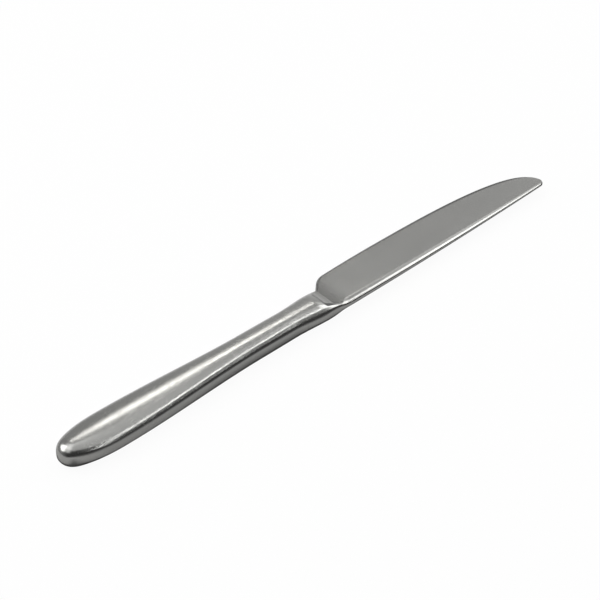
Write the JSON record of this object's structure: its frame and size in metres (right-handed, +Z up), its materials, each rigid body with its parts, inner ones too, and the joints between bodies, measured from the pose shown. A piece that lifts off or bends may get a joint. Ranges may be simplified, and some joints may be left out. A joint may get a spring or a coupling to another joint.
{
  "type": "table knife",
  "caption": "Table knife with a polished hollow handle that swells towards a rounded butt, a sloping bolster and a satin blade with a rounded tip.",
  "frame": {"origin": "on the surface that the knife lies on, below the middle of its bounding box", "axes": "+X along the knife towards the tip, +Y towards the cutting edge, +Z up through the flat of the blade"},
  "size_m": [0.2364, 0.0212, 0.0083],
  "materials": {
    "blade_steel": "satin",
    "handle_steel": "polished",
    "braze": "polished",
    "cement": "matte"
  },
  "bodies": {
    "root": {"blade": "blade_steel", "upper_handle_shell": "handle_steel", "lower_handle_shell": "handle_steel", "seam_braze": "braze", "neck_braze": "braze", "tang_cement": "cement"}
  },
  "joints": []
}
